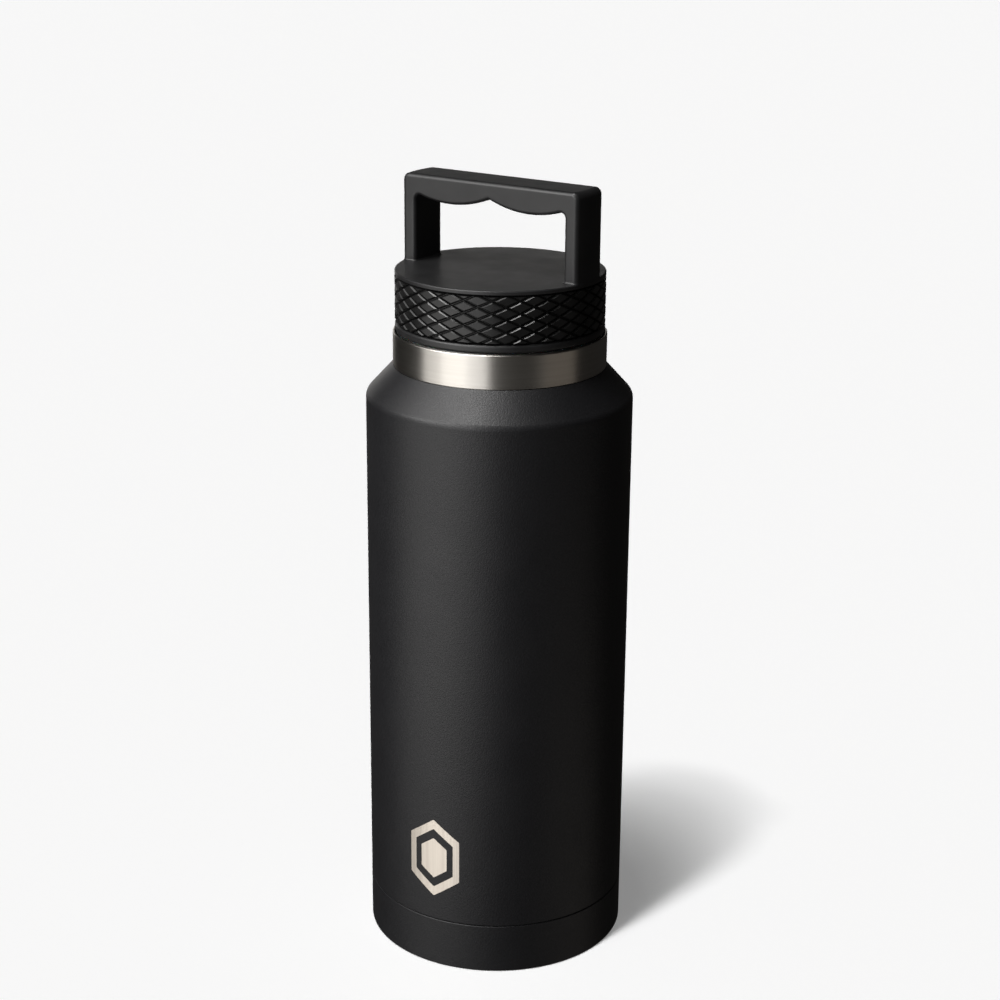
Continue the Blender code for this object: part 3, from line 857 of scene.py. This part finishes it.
def add_bosses(form):
    """Four tubes under the plate that take the screws."""
    for number in range(4):
        angle = math.tau * (number + 0.5) / 4
        outline = rounded([
            (1.6 * MM, LID_UNDERSIDE + 0.2 * MM, 0.0),
            (2.8 * MM, LID_UNDERSIDE + 0.2 * MM, 0.0),
            (2.8 * MM, PLATE_TOP + GAP, 0.2 * MM),
            (1.6 * MM, PLATE_TOP + GAP, 0.0),
        ])
        centre = (SCREW_CIRCLE * math.cos(angle), SCREW_CIRCLE * math.sin(angle))
        turn(form, outline, SMALL_SEGMENTS, centre)


def make_lid_top():
    """Lid's top plate with its rounded rim, and the handle moulded in one with it."""
    seat = CORE_RADIUS + 0.1 * MM
    form = bmesh.new()
    turn(form, rounded([
        (0.0, LID_TOP, 0.0),
        (LID_RADIUS, LID_TOP, RIM_EDGE),
        (LID_RADIUS, GRIP_TOP + GAP, 0.25 * MM),
        (seat, GRIP_TOP + GAP, 0.1 * MM),
        (seat, LID_UNDERSIDE, 0.1 * MM),
        (0.0, LID_UNDERSIDE, 0.0),
    ]))
    add_handle(form)
    add_bosses(form)
    piece = finish_piece("lid_top", form, lid_plastic, "lid", ["lid_top_handle"])


def make_plug():
    """Hollow plug with its thread and flange."""
    flange = LID_BORE - GAP
    gasket_roof = GASKET_TOP + GAP
    bore = PLUG_RADIUS - 2.0 * MM
    floor = PLUG_BOTTOM + 2.0 * MM
    start = NECK_THREAD - THREAD_LEAD / THREAD_STARTS / 2
    thread_top = gasket_roof - 2.5 * MM
    thread_bottom = PLUG_BOTTOM + 3.0 * MM
    outline = rounded([
        (0.0, floor, 0.0),
        (bore, floor, 0.4 * MM),
        (bore, FLANGE_TOP, 0.2 * MM),
        (flange, FLANGE_TOP, 0.2 * MM),
        (flange, gasket_roof, 0.1 * MM),
        (PLUG_RADIUS, gasket_roof, 0.3 * MM),
        (PLUG_RADIUS, thread_top, 0.0),
        (PLUG_RADIUS, PLUG_BOTTOM, 1.2 * MM),
        (0.0, PLUG_BOTTOM, 0.0),
    ])
    cut = next(index for index, point in enumerate(outline)
               if abs(point.y - thread_top) < CLOSE)
    outline[cut:cut + 1] = thread_rows(PLUG_RADIUS, thread_top, thread_bottom)

    def shift(angle, radius, height):
        """The ridges stand out of the plug's side."""
        if abs(radius - PLUG_RADIUS) > 0.01 * MM:
            return 0.0
        return PLUG_RIDGE * ridge_height(angle, height, start)

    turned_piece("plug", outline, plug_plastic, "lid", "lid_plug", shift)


def make_gasket():
    """Silicone ring round the plug, under the lid."""
    inner = PLUG_RADIUS + 0.5 * MM
    outline = rounded([
        (inner, GASKET_TOP, 0.15 * MM),
        (GASKET_OUTER, GASKET_TOP, 0.15 * MM),
        (GASKET_OUTER, GASKET_BOTTOM, 0.45 * MM),
        (inner, GASKET_BOTTOM, 0.45 * MM),
    ])
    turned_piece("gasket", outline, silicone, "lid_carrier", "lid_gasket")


# --- The mark ---

def mark_outline(share):
    """The long hexagon at a share of its size, as (along, up) points with softened corners."""
    softening = 0.6 * MM
    longest_edge = 1.2 * MM
    corners = [
        (0.0, MARK_HALF_HEIGHT),
        (MARK_HALF_WIDTH, MARK_SHOULDER),
        (MARK_HALF_WIDTH, -MARK_SHOULDER),
        (0.0, -MARK_HALF_HEIGHT),
        (-MARK_HALF_WIDTH, -MARK_SHOULDER),
        (-MARK_HALF_WIDTH, MARK_SHOULDER),
    ]
    points = rounded([(along * share, up * share, softening * share) for along, up in corners],
                     steps=4)
    even = []
    for start, end in zip(points, points[1:] + points[:1]):
        pieces = max(1, math.ceil((end - start).length / (longest_edge * share)))
        even += [start.lerp(end, step / pieces) for step in range(pieces)]
    return even


def add_mark_part(form, inner_share, outer_share):
    """A band of the hexagon, or a full one from share 0, as a plate wrapped round the body."""
    steps = 6
    faces = []
    for lift in (MARK_LIFT, -MARK_SINK):
        rings = []
        for step in range(steps + 1):
            share = inner_share + (outer_share - inner_share) * step / steps
            ring = []
            for point in mark_outline(outer_share):
                scaled = point * (share / outer_share)
                angle = MARK_ANGLE + scaled.x / BODY_RADIUS
                radius = BODY_RADIUS + lift
                ring.append(form.verts.new((
                    radius * math.cos(angle), radius * math.sin(angle), MARK_HEIGHT + scaled.y)))
            rings.append(ring)
        for one, two in zip(rings, rings[1:]):
            for index in range(len(one)):
                after = (index + 1) % len(one)
                form.faces.new([one[index], one[after], two[after], two[index]])
        faces.append(rings)
    front, back = faces
    ends = (0, -1) if inner_share > 0.0 else (-1,)
    for end in ends:
        for index in range(len(front[end])):
            after = (index + 1) % len(front[end])
            form.faces.new([front[end][index], front[end][after],
                            back[end][after], back[end][index]])


def make_mark():
    """Bare metal mark in the coating: a hexagon's outline with a smaller solid one inside it."""
    form = bmesh.new()
    add_mark_part(form, MARK_OUTLINE, 1.0)
    add_mark_part(form, 0.0, MARK_MIDDLE)
    bmesh.ops.remove_doubles(form, verts=form.verts, dist=0.0005 * MM)
    piece = finish_piece("side_mark", form, mark_steel, "bottle", [])


make_wall()
make_base_cup()
make_base_disc()
make_neck()
make_vessel()
make_vessel_base()
make_lid_core()
make_grip()
make_lid_top()
make_plug()
make_gasket()
make_mark()

# Pieces that keep the model's own shape, and only take a finish
INNER_FINISHES = {
    "copper_foil": copper,
    "vacuum_seal": solder_glass,
    "getter_holder": vessel_steel,
    "getter_pellet": getter_alloy,
    "plug_foam": foam,
    "plug_cover": plug_plastic,
    "lid_screw_1": screw_steel,
    "lid_screw_2": screw_steel,
    "lid_screw_3": screw_steel,
    "lid_screw_4": screw_steel,
}
for node, finish in INNER_FINISHES.items():
    for place in frame["nodes"][node].material_slots:
        place.material = finish


# --- Floor, light and camera ---

def towards(side, height):
    """Direction from the bottle: degrees to the camera's right, and degrees above the level."""
    angle = VIEW_TURN - math.pi / 2 + math.radians(side)
    level = math.cos(math.radians(height))
    up = math.sin(math.radians(height))
    return Vector((level * math.cos(angle), level * math.sin(angle), up))


def glow_material(name, strength, albedo):
    """A pale surface that gives off some even light, so that shadows on it stay soft."""
    material, tree, shader = new_material(name, (albedo,) * 3, 0.9)
    shader.inputs["Specular IOR Level"].default_value = 0.0
    shader.inputs["Emission Color"].default_value = (1.0, 1.0, 1.0, 1.0)
    shader.inputs["Emission Strength"].default_value = strength
    return material


def stage_paper(name, form, strength, albedo):
    """Make a glowing surface that casts no shadow and lights none of the pieces."""
    mesh = bpy.data.meshes.new(name)
    form.to_mesh(mesh)
    form.free()
    paper = bpy.data.objects.new(name, mesh)
    mesh.materials.append(glow_material(f"{name}_paper", strength, albedo))
    bpy.context.scene.collection.objects.link(paper)
    paper.visible_diffuse = False
    paper.visible_glossy = False
    paper.visible_transmission = False
    paper.visible_shadow = False
    return paper


def make_floor():
    """Pale paper, a hair under the bottle's foot."""
    form = bmesh.new()
    bmesh.ops.create_grid(form, x_segments=1, y_segments=1, size=FLOOR_REACH)
    floor = stage_paper("floor", form, FLOOR_GLOW, 0.8)
    floor.location.z = -0.05 * MM
    return floor


def make_backdrop():
    """A far pale shell all round, which only the camera sees."""
    form = bmesh.new()
    bmesh.ops.create_icosphere(form, subdivisions=4, radius=BACKDROP_RADIUS)
    bmesh.ops.reverse_faces(form, faces=form.faces)
    stage_paper("backdrop", form, BACKDROP_GLOW, 0.0)


def softbox(name, side, height, distance, size, radiance, colour, aim=0.13):
    """A rectangular soft light of a given radiance, aimed at a height on the bottle's axis."""
    lamp = bpy.data.lights.new(name, "AREA")
    lamp.shape = "RECTANGLE"
    lamp.size, lamp.size_y = size
    lamp.energy = radiance * math.pi * size[0] * size[1]
    lamp.color = colour
    holder = bpy.data.objects.new(name, lamp)
    holder.location = towards(side, height) * distance + Vector((0.0, 0.0, aim))
    holder.rotation_euler = towards(side, height).to_track_quat("Z", "Y").to_euler()
    holder.visible_camera = False
    bpy.context.scene.collection.objects.link(holder)
    return holder


def make_lights(floor):
    """Soft boxes that light only the bottle, and a strip of suns that lights only the floor.

    Two weak boxes light only the neck. Each box is given by its name, its direction (degrees to
    the camera's right, then degrees up), its distance, width and height, radiance and colour.
    """
    bottle_only = bpy.data.collections.new("lit_by_softboxes")
    for thing in bpy.context.scene.objects:
        if thing.type == "MESH" and thing.name not in ("floor", "backdrop"):
            bottle_only.objects.link(thing)
    boxes = [
        softbox("key_left", -75.0, 12.0, 0.95, (0.43, 0.45), 0.7, (1.0, 0.985, 0.97)),
        softbox("key_middle", -50.0, 12.0, 0.95, (0.43, 0.45), 1.9, (1.0, 0.985, 0.97)),
        softbox("key_right", -25.0, 12.0, 0.95, (0.43, 0.45), 2.4, (0.99, 0.99, 1.0)),
        softbox("low_left", -75.0, -16.0, 0.95, (0.43, 0.46), 1.15, (1.0, 0.985, 0.96)),
        softbox("low_middle", -50.0, -16.0, 0.95, (0.43, 0.46), 1.7, (1.0, 0.985, 0.96)),
        softbox("low_right", -25.0, -16.0, 0.95, (0.43, 0.46), 0.95, (1.0, 0.985, 0.97)),
        softbox("left_box", -90.0, 44.0, 1.0, (0.50, 0.50), 1.9, (1.0, 0.99, 0.98)),
        softbox("bend_box", -56.0, 38.0, 1.0, (0.74, 0.36), 7.2, (1.0, 0.99, 0.98)),
        softbox("upper_box", -66.0, 60.0, 1.0, (0.34, 0.34), 3.6, (1.0, 0.99, 0.98)),
        softbox("high_strip", -44.0, 71.0, 1.0, (0.23, 0.42), 13.5, (1.0, 0.99, 0.98)),
        softbox("back_box", 192.0, 2.0, 1.5, (1.1, 0.5), 0.72, (1.0, 0.98, 0.95)),
        softbox("near_back", 187.0, 0.0, 0.25, (0.24, 0.12), 0.38, (1.0, 0.98, 0.95), aim=0.228),
        softbox("right_fill", 68.0, -33.0, 1.2, (1.0, 0.5), 0.27, (1.0, 0.93, 0.86)),
    ]
    for box in boxes:
        box.light_linking.receiver_collection = bottle_only
    neck_only = bpy.data.collections.new("lit_by_neck_fill")
    neck_only.objects.link(bpy.data.objects["neck"])
    fills = [
        softbox("neck_fill", 0.0, -18.0, 1.3, (3.0, 0.7), 0.045, (1.0, 0.97, 0.92)),
        softbox("neck_right_fill", 68.0, -14.0, 1.2, (0.8, 0.6), 0.11, (1.0, 0.86, 0.72)),
    ]
    for fill in fills:
        fill.light_linking.receiver_collection = neck_only
    floor_only = bpy.data.collections.new("lit_by_suns")
    floor_only.objects.link(floor)
    for number, height in enumerate(SUN_HEIGHTS, start=1):
        sun = bpy.data.lights.new(f"floor_sun_{number}", "SUN")
        sun.energy = SUN_STRENGTH * math.cos(math.radians(height))
        sun.angle = math.radians(SUN_WIDTH)
        holder = bpy.data.objects.new(f"floor_sun_{number}", sun)
        holder.rotation_euler = towards(SUN_SIDE, height).to_track_quat("Z", "Y").to_euler()
        bpy.context.scene.collection.objects.link(holder)
        holder.light_linking.receiver_collection = floor_only


def make_world():
    """A weak warm light from all sides."""
    world = bpy.data.worlds.new("studio")
    world.use_nodes = True
    background = world.node_tree.nodes["Background"]
    background.inputs["Color"].default_value = (1.0, 0.95, 0.90, 1.0)
    background.inputs["Strength"].default_value = WORLD_STRENGTH
    bpy.context.scene.world = world


def make_camera():
    """The camera stands above the bottle's top and looks down at it."""
    data = bpy.data.cameras.new("camera")
    data.lens = CAMERA_LENS
    data.sensor_width = 36.0
    camera = bpy.data.objects.new("camera", data)
    around = Matrix.Rotation(VIEW_TURN, 4, "Z")
    place = Matrix.Translation((0.0, -CAMERA_DISTANCE, CAMERA_HEIGHT))
    yaw = Matrix.Rotation(-CAMERA_YAW, 4, "Z")
    pitch = Matrix.Rotation(math.pi / 2 - CAMERA_PITCH, 4, "X")
    aim = yaw @ pitch @ Matrix.Rotation(CAMERA_ROLL, 4, "Z")
    camera.matrix_world = around @ place @ aim
    bpy.context.scene.collection.objects.link(camera)
    bpy.context.scene.camera = camera


make_backdrop()
make_lights(make_floor())
make_world()
make_camera()
bpy.context.scene.view_settings.view_transform = "Standard"
